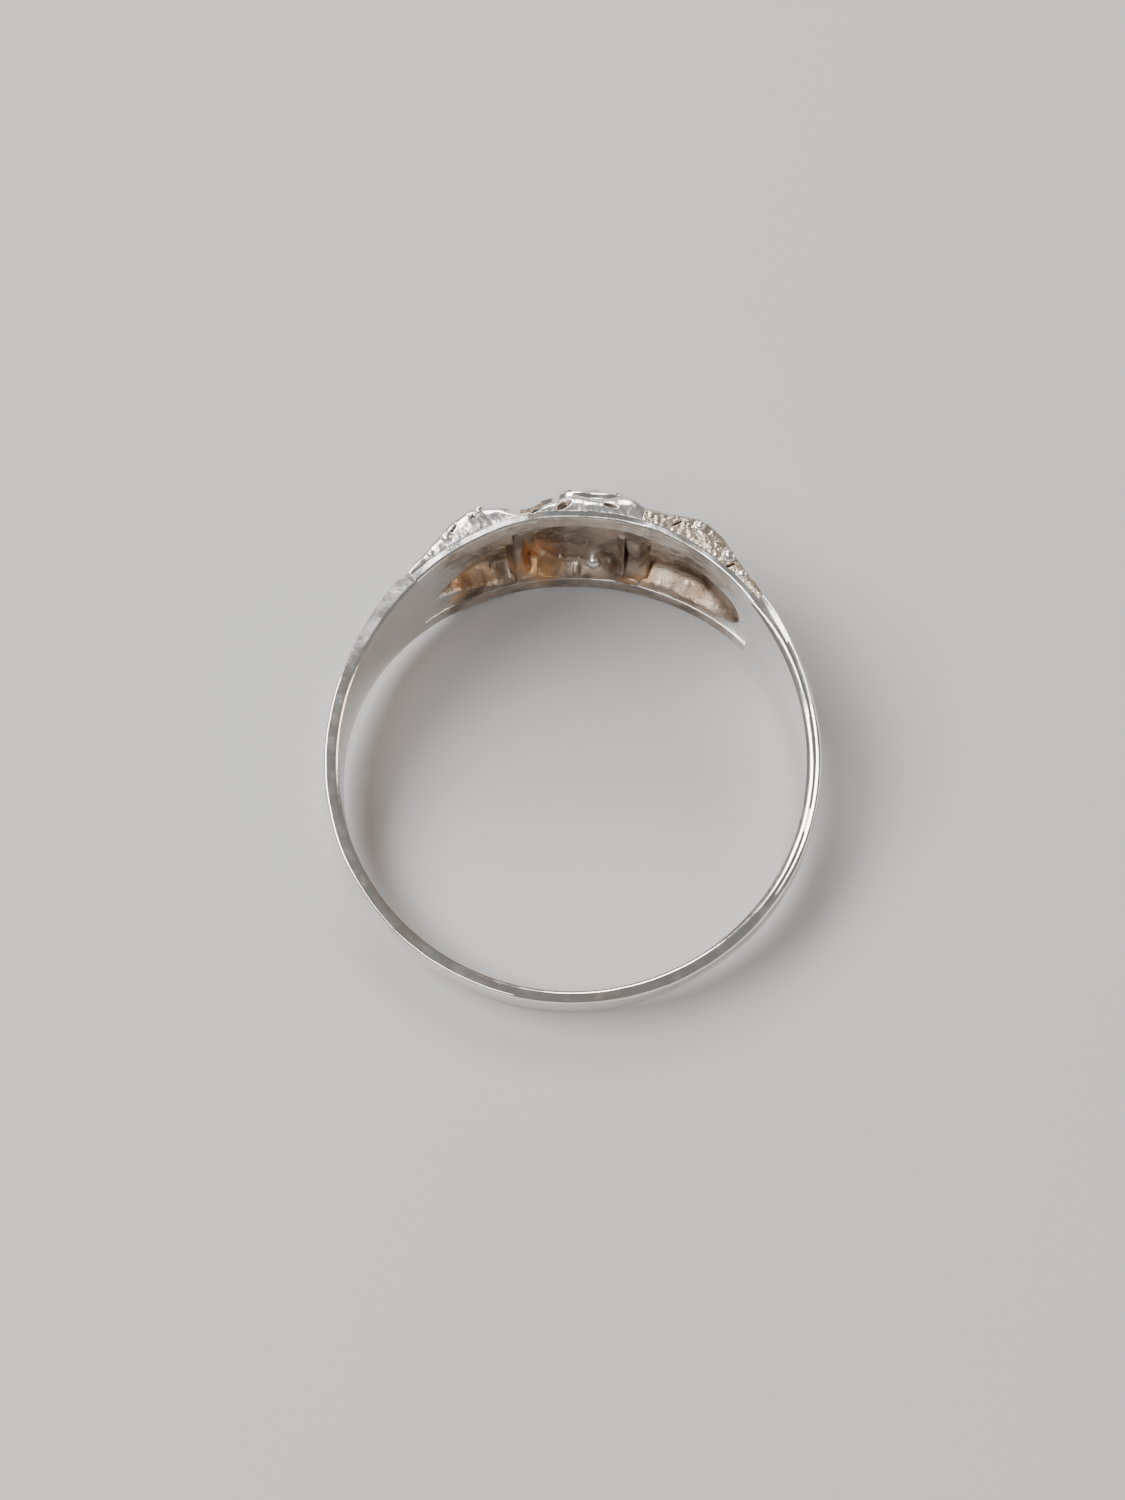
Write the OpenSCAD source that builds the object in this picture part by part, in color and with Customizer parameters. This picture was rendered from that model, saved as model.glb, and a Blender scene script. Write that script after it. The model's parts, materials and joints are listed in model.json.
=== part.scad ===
// Silver engagement ring: tapered D-section shank, hollow-backed head, three main stones and four small ones.
// The ring lies on its side as on a table: head towards +Y, +Z up, origin at the centre of the finger hole.

/* [Finger] */
// Diameter of the finger hole
finger_d = 17.3; // [15:0.1:19]
// Tilt of the ring's axis as it lies on its wide head and narrow back
lying_tilt = 9; // [0:0.5:12]

/* [Band] */
// Width of the band across the head
head_w = 6.9; // [6.6:0.1:7.2]
// Width of the band at the back
back_w = 1.4; // [1:0.1:2]
// How quickly the band narrows away from the head
taper_power = 2.3; // [2.1:0.1:2.6]
// Mean thickness of the shank on its centre line
shank_t = 0.62; // [0.5:0.01:0.7]
// How much thicker the shank is at the head than at the back
shank_swell = 0.26; // [0:0.02:0.3]
// Radius of the dome across the shank
dome_r = 9; // [6:0.5:9]
// Angle from the head's centre to each end of the shank
head_span = 46; // [44:1:48]

/* [Head] */
// Thickness of the two rails round the finger hole
rail_t = 0.3; // [0.25:0.05:0.3]
// Width of each rail
rail_w = 0.85; // [0.7:0.05:0.9]
// Thickness of the pierced gallery plates
gallery_t = 0.6; // [0.5:0.05:0.6]
// Thickness of the bent shoulder plates
plate_t = 0.5; // [0.4:0.05:0.5]
// Height of the back plate's hollow face above the ring's axis
back_plate_y = 9.2; // [9.15:0.05:9.25]
// Thickness of the back plate
back_plate_t = 0.3; // [0.2:0.05:0.3]
// Diameter of the pegs that hold the back plate
peg_d = 0.7; // [0.5:0.05:0.8]

/* [Centre setting] */
// Diameter of the lobed collet
collet_d = 5.1; // [4.9:0.1:5.2]
// Height of the collet's rim above the ring's axis
collet_top_y = 10; // [9.95:0.05:10.05]
// Number of lobes round the collet
lobes = 8; // [8:4:12]
// Depth of the scallops between the lobes
lobe_depth = 0.15; // [0.1:0.05:0.2]
// Thickness of the collet's wall
collet_wall = 0.55; // [0.45:0.05:0.6]
// Diameter of the centre stone
centre_stone_d = 2.5; // [2.3:0.1:2.5]

/* [Shoulders] */
// Diameter of the stone beside the centre on each shoulder
side_stone_d = 1.5; // [1.3:0.1:1.6]
// Diameters of the two small stones down each shoulder
accent_stone_ds = [1.1, 0.85];
// Radius of the grains that hold the side stones
grain_r = 0.15; // [0.1:0.01:0.18]

/* [Hidden] */
$fn = 96;

// Colours of polished silver, of silver left rough and darkened in the hollows, and of the stones
silver = [0.86, 0.85, 0.83];
dark_silver = [0.66, 0.58, 0.50];
stone_colour = [0.88, 0.93, 0.97];

left = -1;
right = 1;
near = 1;
far = -1;
reach = 30;              // longer than the ring, for cuts that go right through
head_from_y = 4;         // below every part of the head
bore_r = finger_d / 2;
rail_r = bore_r + rail_t;
fit_gap = 0.01;          // left between soldered pieces, so that they touch and don't overlap

// Corner points of each gallery's outline, as [angle from the head's centre, radius]
left_gallery_corners = [[head_span, 9.28], [33, 9.74], [27, 9.86], [21.5, 9.74], [17, 9.02]];
right_gallery_corners = [[head_span, 9.34], [33, 9.70], [26, 9.97], [14, 9.60], [12.6, 9.58]];
centre_gallery_corners = [[-16.8, 9.02], [-6, 9.64], [-4, 9.76], [1.7, 9.56], [7, 9.86], [10, 9.82], [12.4, 9.6]];
// Places of the slots sawn through each gallery, as [angle, radius, length]
left_slots = [[32.5, 9.42, 0.42], [27, 9.5, 0.3]];
right_slots = [[20.5, 9.3, 0.42]];
centre_slots = [[-6.2, 9.22, 0.6], [4.5, 9.26, 0.5]];
slot_w = 0.12;
// Beads raised on each gallery's face, as [angle, radius, bead radius]
gallery_bead_places = [[25.5, 9.56, 0.18], [34.5, 9.27, 0.25], [39.5, 9.12, 0.17]];

// Bends of the shoulder plate's outer face, from the centre of the head outwards
plate_inner_end = [16, 9.95];
plate_bend = [27, 10.1];
plate_outer_end = [head_span, 9.3];

// The stones' proportions, as shares of the diameter
pavilion_share = 0.42;
girdle_share = 0.025;
crown_share = 0.15;
table_share = 0.56;

lobe_r = 0.7;
centre_girdle_y = 10.58;
collar_top_y = 10.5;
collar_r = centre_stone_d / 2 + 0.2;
claw_r = 0.2;
claw_foot_y = 10.12;
illusion_t = 0.25;
side_girdle_lift = 0.38;
accent_girdle_lift = 0.06;
accent_shares = [0.3, 0.68];     // how far down the outer facet the two small stones sit

// Half of the band's width where the finger hole has this y
function half_width(y) =
    back_w / 2 + (head_w - back_w) / 2 * pow((1 + max(-1, min(1, y / bore_r))) / 2, taper_power);

// Slope of the band's side face at this y, in degrees
function side_slope(y) = atan((half_width(y + 0.05) - half_width(y - 0.05)) / 0.1);

// A point at an angle from the head's centre, positive to the right
function polar(angle, radius) = [radius * sin(angle), radius * cos(angle)];

// Turns the ring from its own flat frame to the way it lies
module lying() rotate([lying_tilt, 0, 0]) children();

// Stands a shape's own +Z outwards from the head, at a point of the X-Y plane
module outward(point, tilt) translate([point[0], point[1], 0]) rotate([0, 0, -tilt]) rotate([-90, 0, 0]) children();

// Everything within the band's side faces above from_y, less an inset from each
module between_sides(inset = 0, from_y = -10) {
    ys = [for (y = [from_y:0.5:8.5]) y, bore_r, 12];
    edge = [for (y = ys) [y, half_width(y) - inset]];
    mirrored_edge = [for (i = [len(ys) - 1:-1:0]) [ys[i], inset - half_width(ys[i])]];
    rotate([90, 0, 90]) linear_extrude(reach, center = true) polygon(concat(edge, mirrored_edge));
}

// The layer of the band that lies just inside its near or far side face
module side_layer(side, thickness) {
    difference() {
        between_sides(0, head_from_y);
        between_sides(thickness, head_from_y - 1);
        translate([-reach / 2, -reach / 2, side > 0 ? -reach : 0]) cube(reach);
    }
}

// A sector of a disc about the ring's axis
module sector(from, to, radius) {
    linear_extrude(reach, center = true)
        polygon(concat([[0, 0]], [for (i = [0:8]) polar(from + (to - from) * i / 8, radius)]));
}

module ring_cylinder(radius) cylinder(h = reach, r = radius, center = true);

// A round brilliant with its girdle's lower edge at z = 0
module brilliant(d) {
    girdle = girdle_share * d;
    rotate_extrude()
        polygon([
            [0, -pavilion_share * d],
            [d / 2, 0],
            [d / 2, girdle],
            [table_share * d / 2, girdle + crown_share * d],
            [0, girdle + crown_share * d],
        ]);
}

// Half of a ball standing on z = 0
module bead(r) {
    intersection() {
        sphere(r);
        translate([-r, -r, 0]) cube(2 * r);
    }
}

// Four grains round a stone of this diameter
module grains(d, r) {
    for (turn = [45:90:315]) rotate(turn) translate([d / 2 + r + fit_gap, 0, 0]) bead(r);
}

function slope_between(p, q) = atan2(p[1] - q[1], q[0] - p[0]);
inner_end = polar(plate_inner_end[0], plate_inner_end[1]);
bend = polar(plate_bend[0], plate_bend[1]);
outer_end = polar(plate_outer_end[0], plate_outer_end[1]);
inner_facet_tilt = slope_between(inner_end, bend);
outer_facet_tilt = slope_between(bend, outer_end);
inner_facet_length = norm(bend - inner_end);

// Places children at the middle of a shoulder's inner facet, their +Z outwards
module on_inner_facet(side) {
    middle = (inner_end + bend) / 2;
    outward([side * middle[0], middle[1]], side * inner_facet_tilt) children();
}

// Places children a share of the way down a shoulder's outer facet, their +Z outwards
module on_outer_facet(side, share) {
    place = bend + share * (outer_end - bend);
    outward([side * place[0], place[1]], side * outer_facet_tilt) children();
}

module shank() color(silver) lying() {
    difference() {
        intersection() {
            translate([0, shank_swell / 2, 0]) rotate_extrude() intersection() {
                translate([bore_r + shank_t - dome_r, 0]) circle(dome_r);
                translate([0, -head_w / 2]) square([reach, head_w]);
            }
            between_sides();
        }
        ring_cylinder(bore_r);
        sector(-head_span, head_span, reach);
    }
}

module rail(side) color(silver) lying() {
    intersection() {
        difference() {
            side_layer(side, rail_w);
            ring_cylinder(bore_r);
        }
        ring_cylinder(rail_r);
        sector(-head_span, head_span, reach);
    }
}
module near_rail() rail(near);
module far_rail() rail(far);

// A rib across the hollow, from just above the finger hole to the back plate or the shoulder plate
module rib(side, from, to, top_y) color(dark_silver) lying() {
    intersection() {
        difference() {
            between_sides(rail_w + fit_gap, head_from_y);
            ring_cylinder(bore_r + 0.12);
        }
        sector(side * from, side * to, reach);
        translate([-reach / 2, 0, -reach / 2]) cube([reach, top_y, reach]);
    }
}
module left_rib() rib(left, 16.2, 18.6, 9.0);
module right_rib() rib(right, 9, 12.4, back_plate_y - fit_gap);

module gallery(across, side, corners, slots) color(silver) lying() {
    intersection() {
        side_layer(side, gallery_t);
        difference() {
            linear_extrude(reach, center = true)
                polygon(concat([[0, 0]], [for (c = corners) polar(across * c[0], c[1])]));
            ring_cylinder(rail_r + fit_gap);
            for (s = slots) rotate(-across * s[0]) translate([0, s[1], 0])
                cube([s[2], slot_w, reach], center = true);
        }
    }
}
module left_near_gallery() gallery(left, near, left_gallery_corners, left_slots);
module right_near_gallery() gallery(right, near, right_gallery_corners, right_slots);
module left_far_gallery() gallery(left, far, left_gallery_corners, left_slots);
module right_far_gallery() gallery(right, far, right_gallery_corners, right_slots);
module centre_near_gallery() gallery(right, near, centre_gallery_corners, centre_slots);
module centre_far_gallery() gallery(right, far, centre_gallery_corners, centre_slots);

// Beads on the near and far faces of one shoulder's galleries
module gallery_beads(across) color(silver) lying() {
    for (side = [near, far], place = gallery_bead_places) {
        p = polar(across * place[0], place[1]);
        mirror([0, 0, side < 0 ? 1 : 0]) translate([p[0], p[1], half_width(p[1])])
            rotate([side_slope(p[1]), 0, 0]) translate([0, 0, fit_gap]) bead(place[2]);
    }
}
module left_gallery_beads() gallery_beads(left);
module right_gallery_beads() gallery_beads(right);

// A bent plate over one hollow, drilled through behind each of its stones
module shoulder_plate(side) color(silver) lying() {
    difference() {
        intersection() {
            between_sides(gallery_t + fit_gap, head_from_y);
            linear_extrude(reach, center = true) polygon([
                polar(side * plate_inner_end[0], plate_inner_end[1]),
                polar(side * plate_bend[0], plate_bend[1]),
                polar(side * plate_outer_end[0], plate_outer_end[1]),
                polar(side * plate_outer_end[0], rail_r + fit_gap),
                polar(side * plate_bend[0], plate_bend[1] - plate_t),
                polar(side * plate_inner_end[0], plate_inner_end[1] - plate_t),
            ]);
        }
        on_inner_facet(side) cylinder(h = 3, r = side_stone_d * 0.4, center = true);
        for (i = [0, 1]) on_outer_facet(side, accent_shares[i])
            cylinder(h = 3, r = accent_stone_ds[i] * 0.46, center = true);
    }
}
module left_shoulder_plate() shoulder_plate(left);
module right_shoulder_plate() shoulder_plate(right);

// The floor of the centre hollow, with two drilled pits and holes for its pegs
module centre_back_plate() color(dark_silver) lying() {
    size = [2 * inner_end[0] - 0.3, back_plate_t, head_w - 2 * gallery_t - 0.1];
    difference() {
        translate([0, back_plate_y + back_plate_t / 2, 0]) cube(size, center = true);
        for (x = [-1.25, -0.55], z = [-1.9, 1.9])
            translate([x, back_plate_y, z]) rotate([90, 0, 0]) cylinder(h = 0.3, d = 0.34, center = true);
        pegs(peg_d + fit_gap);
    }
}

module pegs(d) {
    for (z = [-2.2, 2.2]) translate([0.1, back_plate_y - 0.12, z]) rotate([-90, 0, 0])
        cylinder(h = back_plate_t + 0.12, d = d);
}
module centre_pegs() color(dark_silver) lying() pegs(peg_d);

// A round prism standing along +Y with lobes round its edge, made smaller all round by inset
module lobed_prism(inset, from_y, to_y) {
    translate([0, from_y, 0]) rotate([-90, 0, 0]) linear_extrude(to_y - from_y) {
        circle(collet_d / 2 - lobe_depth - inset);
        for (i = [0:lobes - 1]) rotate((i + 0.5) * 360 / lobes)
            translate([collet_d / 2 - lobe_r, 0]) circle(lobe_r - inset);
    }
}

// The pierced wall round the centre setting, scalloped along its rim
module centre_collet() color(silver) lying() {
    difference() {
        lobed_prism(0, back_plate_y + back_plate_t + fit_gap, collet_top_y);
        translate([0, 9, 0]) rotate([-90, 0, 0]) cylinder(h = 2, r = collet_d / 2 - lobe_depth - collet_wall);
        for (turn = [0:360 / lobes:359]) rotate([0, turn, 0]) translate([0, collet_top_y, 1.3])
            cylinder(h = 2, r = 0.3);
    }
}

// A lobed plate that rises to a collar round the centre stone
module centre_illusion_plate() color(silver) lying() {
    base_y = collet_top_y + fit_gap;
    difference() {
        union() {
            lobed_prism(0.05, base_y, base_y + illusion_t);
            translate([0, base_y + illusion_t, 0]) rotate([-90, 0, 0])
                cylinder(h = collar_top_y - base_y - illusion_t, r1 = 2.1, r2 = collar_r);
        }
        translate([0, 9, 0]) rotate([-90, 0, 0]) cylinder(h = 3, r = centre_stone_d * 0.4);
        translate([0, centre_girdle_y - 0.02, 0]) rotate([90, 0, 0])
            cylinder(h = 1.2, r1 = centre_stone_d / 2 + 0.02, r2 = 0);
        translate([0, centre_girdle_y - 0.03, 0]) rotate([-90, 0, 0]) cylinder(h = 1, r = centre_stone_d);
        for (turn = [45:90:315]) rotate([0, turn, 0])
            translate([centre_stone_d / 2 + claw_r + fit_gap, claw_foot_y - fit_gap, 0])
                rotate([-90, 0, 0]) cylinder(h = 2, r = claw_r);
    }
}

// Four round claws let into the collar, each with a ball tip over the stone's edge
module centre_claws() color(silver) lying() {
    tip_y = centre_girdle_y + 0.16;
    for (turn = [45:90:315]) rotate([0, turn, 0]) translate([centre_stone_d / 2 + claw_r + fit_gap, 0, 0]) {
        translate([0, claw_foot_y, 0]) rotate([-90, 0, 0]) cylinder(h = tip_y - claw_foot_y, r = claw_r - fit_gap);
        translate([0, tip_y, 0]) sphere(claw_r - fit_gap);
    }
}

module centre_stone() color(stone_colour) lying() outward([0, centre_girdle_y], 0) brilliant(centre_stone_d);

// A plate with clipped corners and a seat for the side stone
module illusion_plate(side) color(silver) lying() {
    half_l = inner_facet_length / 2 - 0.05;
    half_w = 1.7;
    clip = 0.5;
    on_inner_facet(side) translate([0, 0, fit_gap]) difference() {
        linear_extrude(side_girdle_lift - 0.06) polygon([
            for (q = [[1, 1], [-1, 1], [-1, -1], [1, -1]], first = [true, false])
                let (along = (q[0] == q[1]) == first)
                [q[0] * (half_l - (along ? 0 : clip)), q[1] * (half_w - (along ? clip : 0))]
        ]);
        translate([0, 0, -1]) cylinder(h = 3, r = side_stone_d * 0.42);
        translate([0, 0, side_girdle_lift - 0.7]) cylinder(h = 0.7, r1 = 0, r2 = side_stone_d / 2 + 0.04);
    }
}
module left_illusion_plate() illusion_plate(left);
module right_illusion_plate() illusion_plate(right);

module side_stone(side) color(stone_colour) lying()
    on_inner_facet(side) translate([0, 0, side_girdle_lift]) brilliant(side_stone_d);
module left_side_stone() side_stone(left);
module right_side_stone() side_stone(right);

module side_grains(side) color(silver) lying()
    on_inner_facet(side) translate([0, 0, side_girdle_lift - 0.04]) grains(side_stone_d, grain_r);
module left_side_grains() side_grains(left);
module right_side_grains() side_grains(right);

module accent_stones(side) color(stone_colour) lying() {
    for (i = [0, 1]) on_outer_facet(side, accent_shares[i])
        translate([0, 0, accent_girdle_lift]) brilliant(accent_stone_ds[i]);
}
module left_accent_stones() accent_stones(left);
module right_accent_stones() accent_stones(right);

module accent_grains(side) color(silver) lying() {
    for (i = [0, 1]) on_outer_facet(side, accent_shares[i])
        translate([0, 0, fit_gap]) grains(accent_stone_ds[i], grain_r * 0.8);
}
module left_accent_grains() accent_grains(left);
module right_accent_grains() accent_grains(right);

shank();
near_rail();
far_rail();
left_rib();
right_rib();
left_near_gallery();
right_near_gallery();
left_far_gallery();
right_far_gallery();
centre_near_gallery();
centre_far_gallery();
left_shoulder_plate();
right_shoulder_plate();
left_gallery_beads();
right_gallery_beads();
centre_back_plate();
centre_pegs();
centre_collet();
centre_illusion_plate();
centre_claws();
centre_stone();
left_illusion_plate();
right_illusion_plate();
left_side_stone();
right_side_stone();
left_side_grains();
right_side_grains();
left_accent_stones();
right_accent_stones();
left_accent_grains();
right_accent_grains();
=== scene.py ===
"""Silver engagement ring: worn, cast-looking silver round a hollow-backed head, with clear brilliant stones.

The ring's own flat coordinates are millimetres from the middle of the finger hole: x to the right, y out
through the head, z along the hole's axis. place() turns them into the frame's metres. Angles are degrees from
the middle of the head, positive to the right.
"""

import json
import math

import bmesh
import bpy
from mathutils import Matrix, Vector, noise
from mathutils.bvhtree import BVHTree


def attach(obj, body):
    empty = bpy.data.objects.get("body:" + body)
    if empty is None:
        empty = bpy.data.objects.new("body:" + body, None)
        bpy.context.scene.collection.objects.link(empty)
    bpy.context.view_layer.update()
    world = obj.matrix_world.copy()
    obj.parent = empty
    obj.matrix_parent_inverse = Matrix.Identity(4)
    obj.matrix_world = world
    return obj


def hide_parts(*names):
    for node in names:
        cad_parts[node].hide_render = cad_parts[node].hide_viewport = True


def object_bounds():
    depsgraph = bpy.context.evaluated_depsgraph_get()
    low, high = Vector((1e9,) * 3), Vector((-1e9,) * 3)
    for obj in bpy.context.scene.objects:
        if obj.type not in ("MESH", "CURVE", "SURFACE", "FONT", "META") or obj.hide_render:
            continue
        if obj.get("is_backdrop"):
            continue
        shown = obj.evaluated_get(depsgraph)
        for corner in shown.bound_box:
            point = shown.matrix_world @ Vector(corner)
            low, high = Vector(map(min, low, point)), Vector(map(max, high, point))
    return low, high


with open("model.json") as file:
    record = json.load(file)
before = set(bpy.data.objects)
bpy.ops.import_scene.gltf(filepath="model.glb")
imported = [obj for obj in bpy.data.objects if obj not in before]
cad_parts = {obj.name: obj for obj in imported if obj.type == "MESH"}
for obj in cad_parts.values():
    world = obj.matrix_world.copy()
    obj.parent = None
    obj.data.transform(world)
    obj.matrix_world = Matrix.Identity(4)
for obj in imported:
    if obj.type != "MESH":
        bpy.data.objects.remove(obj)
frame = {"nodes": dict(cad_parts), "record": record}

bl_info = {
    "name": "Silver engagement ring",
    "version": (1, 0, 0),
    "blender": (4, 5, 0),
    "location": "3D View > Sidebar > Ring",
    "description": "Builds the silver and the stones of an engagement ring round its packed frame",
    "category": "Add Mesh",
}

MM = 0.001
CAD_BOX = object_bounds()
HOLE = next(m for m in frame["record"]["mounts"] if m["name"] == "finger_hole")
HOLE_CENTRE = Vector(HOLE["pos_m"])
ALONG = Vector(HOLE["axis"]).normalized()
ACROSS = Vector((1, 0, 0))
HEADWARDS = ALONG.cross(ACROSS)
BORE_R = HOLE["dims"]["r_mm"]
HEAD_WIDTH = HOLE["dims"]["length_mm"]
LEFT, RIGHT = -1, 1
NEAR, FAR = 1, -1
RAIL_TOP = BORE_R + 0.3
MM_PER_DEGREE = 0.157

# ---------------------------------------------------------------- places and small sums


def place(x, y, z):
    """A point of the flat ring, in millimetres, as a point of the frame."""
    return HOLE_CENTRE + (ACROSS * x + HEADWARDS * y + ALONG * z) * MM


def flat(point):
    """The other way: a point of the frame as millimetres of the flat ring."""
    p = (Vector(point) - HOLE_CENTRE) / MM
    return Vector((p.dot(ACROSS), p.dot(HEADWARDS), p.dot(ALONG)))


def polar(degrees, radius, z):
    """A point at an angle from the head's centre."""
    a = math.radians(degrees)
    return Vector((radius * math.sin(a), radius * math.cos(a), z))


def angle_of(p):
    """The angle of a flat point."""
    return math.degrees(math.atan2(p.x, p.y))


def lerp(a, b, t):
    return a + (b - a) * t


def smoothstep(low, high, value):
    t = min(1, max(0, (value - low) / (high - low)))
    return t * t * (3 - 2 * t)


def bump(distance, radius):
    """1 at the middle of a round spot and 0 from its radius outwards."""
    return 1 - smoothstep(0, radius, abs(distance))


def spread(low, high, count):
    return [lerp(low, high, i / (count - 1)) for i in range(count)]


def across_rails(half, rail_edge, count):
    """Places across a plate, close together where its underside meets the rails' inner edges."""
    gap = 0.01
    inner = spread(-rail_edge + gap, rail_edge - gap, count)
    outer = spread(rail_edge + gap, half, 6)
    return [-z for z in reversed(outer)] + inner + outer


def rough(point, scale, seed=0.0):
    """Smooth noise from -1 to 1 with features about 1 / scale millimetres wide."""
    return noise.noise(Vector(point) * scale + Vector((seed, seed * 1.7, seed * 0.6)))


def half_width(y):
    """Half of the band's width at this height of the flat ring."""
    s = sizes()
    share = (1 + max(-1, min(1, y / BORE_R))) / 2
    return s.back_width / MM / 2 + (HEAD_WIDTH - s.back_width / MM) / 2 * share**s.taper_power


def box_of(points):
    """Lowest and highest coordinates of some points."""
    return (
        Vector([min(p[i] for p in points) for i in range(3)]),
        Vector([max(p[i] for p in points) for i in range(3)]),
    )


def node_points(name):
    """The flat points of a CAD node."""
    return [flat(v.co) for v in frame["nodes"][name].data.vertices]


def node_box(name):
    """Lowest and highest flat coordinates of a CAD node."""
    return box_of(node_points(name))


def node_span(name):
    """Lowest and highest angle that a CAD node reaches."""
    angles = [angle_of(p) for p in node_points(name)]
    return min(angles), max(angles)


def solids(name):
    """The flat points of each separate solid in a CAD node."""
    bm = bmesh.new()
    bm.from_mesh(frame["nodes"][name].data)
    bmesh.ops.remove_doubles(bm, verts=bm.verts, dist=0.001 * MM)
    reached, found = set(), []
    for first in bm.verts:
        if first in reached:
            continue
        reached.add(first)
        stack, points = [first], []
        while stack:
            v = stack.pop()
            points.append(flat(v.co))
            for e in v.link_edges:
                other = e.other_vert(v)
                if other not in reached:
                    reached.add(other)
                    stack.append(other)
        found.append(points)
    bm.free()
    return found


def islands(name):
    """Middle and size of each separate solid in a CAD node."""
    boxes = [box_of(points) for points in solids(name)]
    found = [((low + high) / 2, high - low) for low, high in boxes]
    return sorted(found, key=lambda f: tuple(round(v, 3) for v in f[0]))


def stone_frames(name):
    """Centre of the girdle, outward direction and diameter of each stone in a CAD node, largest first."""
    found = []
    for points in solids(name):
        culet = min(points, key=lambda p: p.xy.length)
        middle = sum(points, Vector()) / len(points)
        axis = (Vector((middle.x, middle.y, culet.z)) - culet).normalized()

        def off_axis(p):
            return (p - culet - axis * (p - culet).dot(axis)).length

        reach = max(off_axis(p) for p in points)
        girdle = min((p - culet).dot(axis) for p in points if off_axis(p) > reach * 0.98)
        found.append((culet + axis * girdle, axis, reach * 2))
    return sorted(found, key=lambda f: -f[2])


class Outline:
    """The outer radius of a CAD node by angle, with its corners rounded."""

    OUTSIDE = 13
    RIM_SHARE = 0.72
    END_MARGIN = 0.05

    def __init__(self, name, z_share, round_over=1.3):
        mesh = frame["nodes"][name].data
        self.tree = BVHTree.FromPolygons(node_points(name), [list(p.vertices) for p in mesh.polygons])
        self.low, self.high = node_span(name)
        self.z_share = z_share
        self.round_over = round_over

    def sharp(self, degrees):
        """The radius where a ray towards the axis meets the node, at a share of the band's half width."""
        degrees = min(self.high - self.END_MARGIN, max(self.low + self.END_MARGIN, degrees))
        start = polar(degrees, self.OUTSIDE, 0)
        start.z = self.z_share * half_width(start.y * self.RIM_SHARE)
        hit = self.tree.ray_cast(start, (Vector((0, 0, start.z)) - start).normalized())[0]
        return math.hypot(hit.x, hit.y) if hit else None

    def __call__(self, degrees):
        found = [self.sharp(degrees + d * self.round_over) for d in (-1, -0.66, -0.33, 0, 0.33, 0.66, 1)]
        found = [r for r in found if r]
        return sum(found) / len(found)


# ---------------------------------------------------------------- meshes


def add_object(name, data):
    obj = bpy.data.objects.new(name, data)
    bpy.context.collection.objects.link(obj)
    return obj


def finish_mesh(name, verts, faces, smooth_under):
    """An object at the origin from flat-ring points, closed, facing outwards and smooth up to an angle."""
    mesh = bpy.data.meshes.new(name)
    mesh.from_pydata([place(*v) for v in verts], [], faces)
    bm = bmesh.new()
    bm.from_mesh(mesh)
    bmesh.ops.remove_doubles(bm, verts=bm.verts, dist=0.0005 * MM)
    bmesh.ops.triangulate(bm, faces=[f for f in bm.faces if len(f.verts) > 4])
    bmesh.ops.recalc_face_normals(bm, faces=bm.faces)
    bm.to_mesh(mesh)
    bm.free()
    mesh.shade_smooth()
    mesh.set_sharp_from_angle(angle=math.radians(smooth_under))
    return add_object(name, mesh)


def loft(name, loops, smooth_under, closed=False):
    """Skins a row of loops that all have the same number of points, and caps both ends unless it is closed."""
    count = len(loops[0])
    verts = [p for loop in loops for p in loop]
    faces = []
    spans = len(loops) if closed else len(loops) - 1
    for i in range(spans):
        a, b = i * count, (i + 1) % len(loops) * count
        faces += [(a + j, a + (j + 1) % count, b + (j + 1) % count, b + j) for j in range(count)]
    if not closed:
        for start in (0, (len(loops) - 1) * count):
            verts.append(sum((verts[start + j] for j in range(count)), Vector()) / count)
            faces += [(start + j, start + (j + 1) % count, len(verts) - 1) for j in range(count)]
    return finish_mesh(name, verts, faces, smooth_under)


def slab(name, lower, upper, smooth_under):
    """A closed plate between two grids of points that have the same shape."""
    rows, columns = len(lower), len(lower[0])
    verts = [p for row in lower for p in row] + [p for row in upper for p in row]
    top = rows * columns
    faces = []
    for i in range(rows - 1):
        for j in range(columns - 1):
            a, d = i * columns + j, (i + 1) * columns + j
            b, c = a + 1, d + 1
            faces += [(a, b, c, d), (top + d, top + c, top + b, top + a)]
    rim = list(range(columns))
    rim += [i * columns + columns - 1 for i in range(1, rows)]
    rim += [(rows - 1) * columns + j for j in range(columns - 2, -1, -1)]
    rim += [i * columns for i in range(rows - 2, 0, -1)]
    faces += [(a, b, top + b, top + a) for a, b in zip(rim, rim[1:] + rim[:1])]
    return finish_mesh(name, verts, faces, smooth_under)


def rounded(corners, radii, steps=4):
    """A polygon of (u, v) corners with each corner turned into a short curve of the same number of points."""
    if not isinstance(radii, list):
        radii = [radii] * len(corners)
    most = 0.45
    out = []
    for i, corner in enumerate(corners):
        corner = Vector(corner)
        before, after = Vector(corners[i - 1]), Vector(corners[(i + 1) % len(corners)])
        r_before = min(radii[i], (before - corner).length * most)
        r_after = min(radii[i], (after - corner).length * most)
        a = corner + (before - corner).normalized() * r_before
        b = corner + (after - corner).normalized() * r_after
        for k in range(steps + 1):
            t = k / steps
            out.append(a * (1 - t) ** 2 + corner * 2 * t * (1 - t) + b * t * t)
    return out


def refined(points, sides, steps=4):
    """Splits each side that rounded() left between its corners into a given number of parts."""
    out = []
    for i, p in enumerate(points):
        q = points[(i + 1) % len(points)]
        corner, place_in_corner = divmod(i, steps + 1)
        parts = sides[corner] if place_in_corner == steps else 1
        out += [p.lerp(q, k / parts) for k in range(parts)]
    return out


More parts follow.
